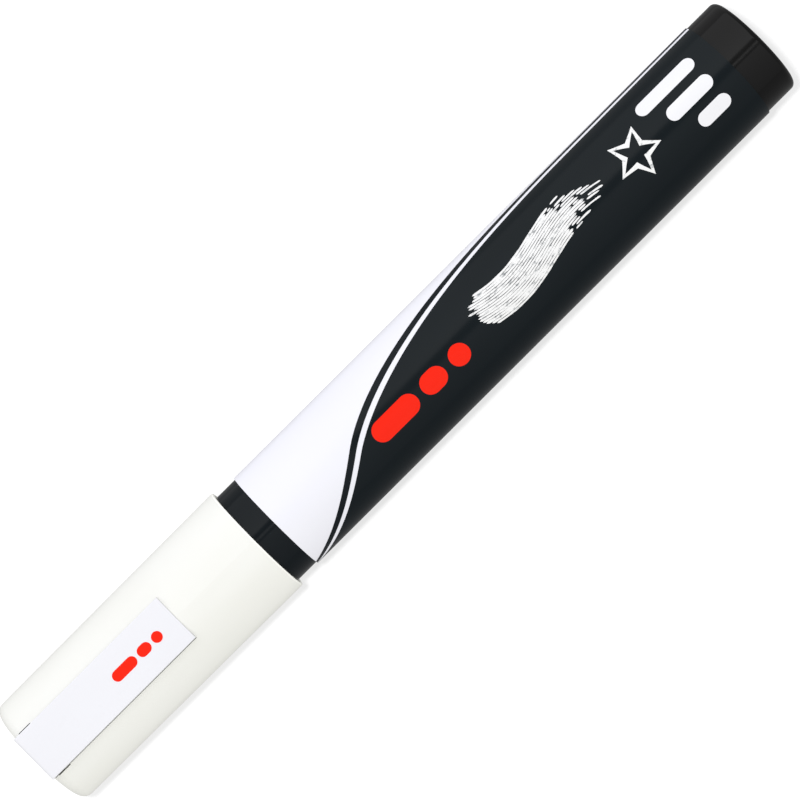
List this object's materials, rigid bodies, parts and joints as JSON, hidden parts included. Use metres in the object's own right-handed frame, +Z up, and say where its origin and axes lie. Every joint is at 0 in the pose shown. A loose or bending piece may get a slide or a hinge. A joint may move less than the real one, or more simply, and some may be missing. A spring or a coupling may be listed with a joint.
{
  "type": "liquid chalk marker",
  "caption": "Capped liquid chalk marker with a bullet nib, a sprung ink valve, a mixing ball in a round tank, a pull-off cap and a pocket clip.",
  "frame": {"origin": "on the table, under the middle of the capped marker as it lies with its clip up", "axes": "+X along the marker towards the tail, so the cap and nib point to -X; +Z up through the clip"},
  "size_m": [0.138, 0.0176, 0.0178],
  "materials": {
    "cap_white": "moulded polypropylene, semi gloss",
    "clip_white": "moulded polypropylene, gloss",
    "liner_natural": "natural polyethylene, waxy",
    "nib_fibre": "pressed polyester fibre",
    "collar_black": "moulded polypropylene, semi gloss",
    "valve_white": "moulded acetal",
    "spring_steel": "drawn stainless wire",
    "barrel_white": "moulded polypropylene",
    "label_print": "printed and varnished film",
    "tail_black": "moulded polypropylene, semi gloss",
    "ball_steel": "polished bearing steel"
  },
  "bodies": {
    "marker_body": {"front_section": "collar_black", "valve_seat": "valve_white", "valve_cage": "valve_white", "valve_spring": "spring_steel", "barrel": "barrel_white", "label_film": "label_print", "tail_plug": "tail_black"},
    "cap": {"cap_shell": "cap_white", "inner_cap": "liner_natural"},
    "clip": {"pocket_clip": "clip_white"},
    "nib": {"nib": "nib_fibre"},
    "valve_stem": {"valve_stem": "valve_white"},
    "ball": {"mixing_ball": "ball_steel"}
  },
  "joints": [
    {"name": "cap_pull", "type": "slide", "parent": "marker_body", "child": "cap", "axis": [-1, 0, 0], "range_m": [0, 0.05]},
    {"name": "clip_flex", "type": "hinge", "parent": "cap", "child": "clip", "pos_m": [-0.0679, 0, 0.01672], "axis": [0, -1, 0], "range_deg": [0, 5], "stiffness_Nm_per_rad": 1.2},
    {"name": "nib_press", "type": "slide", "parent": "marker_body", "child": "nib", "axis": [1, 0, 0], "range_m": [0, 0.0018], "stiffness_N_per_m": 400, "springref_m": -0.0015},
    {"name": "valve_lift", "type": "slide", "parent": "marker_body", "child": "valve_stem", "axis": [1, 0, 0], "range_m": [0, 0.0018], "deforming": ["valve_spring"]},
    {"name": "ball_roll", "type": "slide", "parent": "marker_body", "child": "ball", "axis": [1, 0, 0], "range_m": [-0.0604, 0]}
  ],
  "couplings": [
    {"joint": "valve_lift", "follows": "nib_press", "ratio": 1}
  ]
}
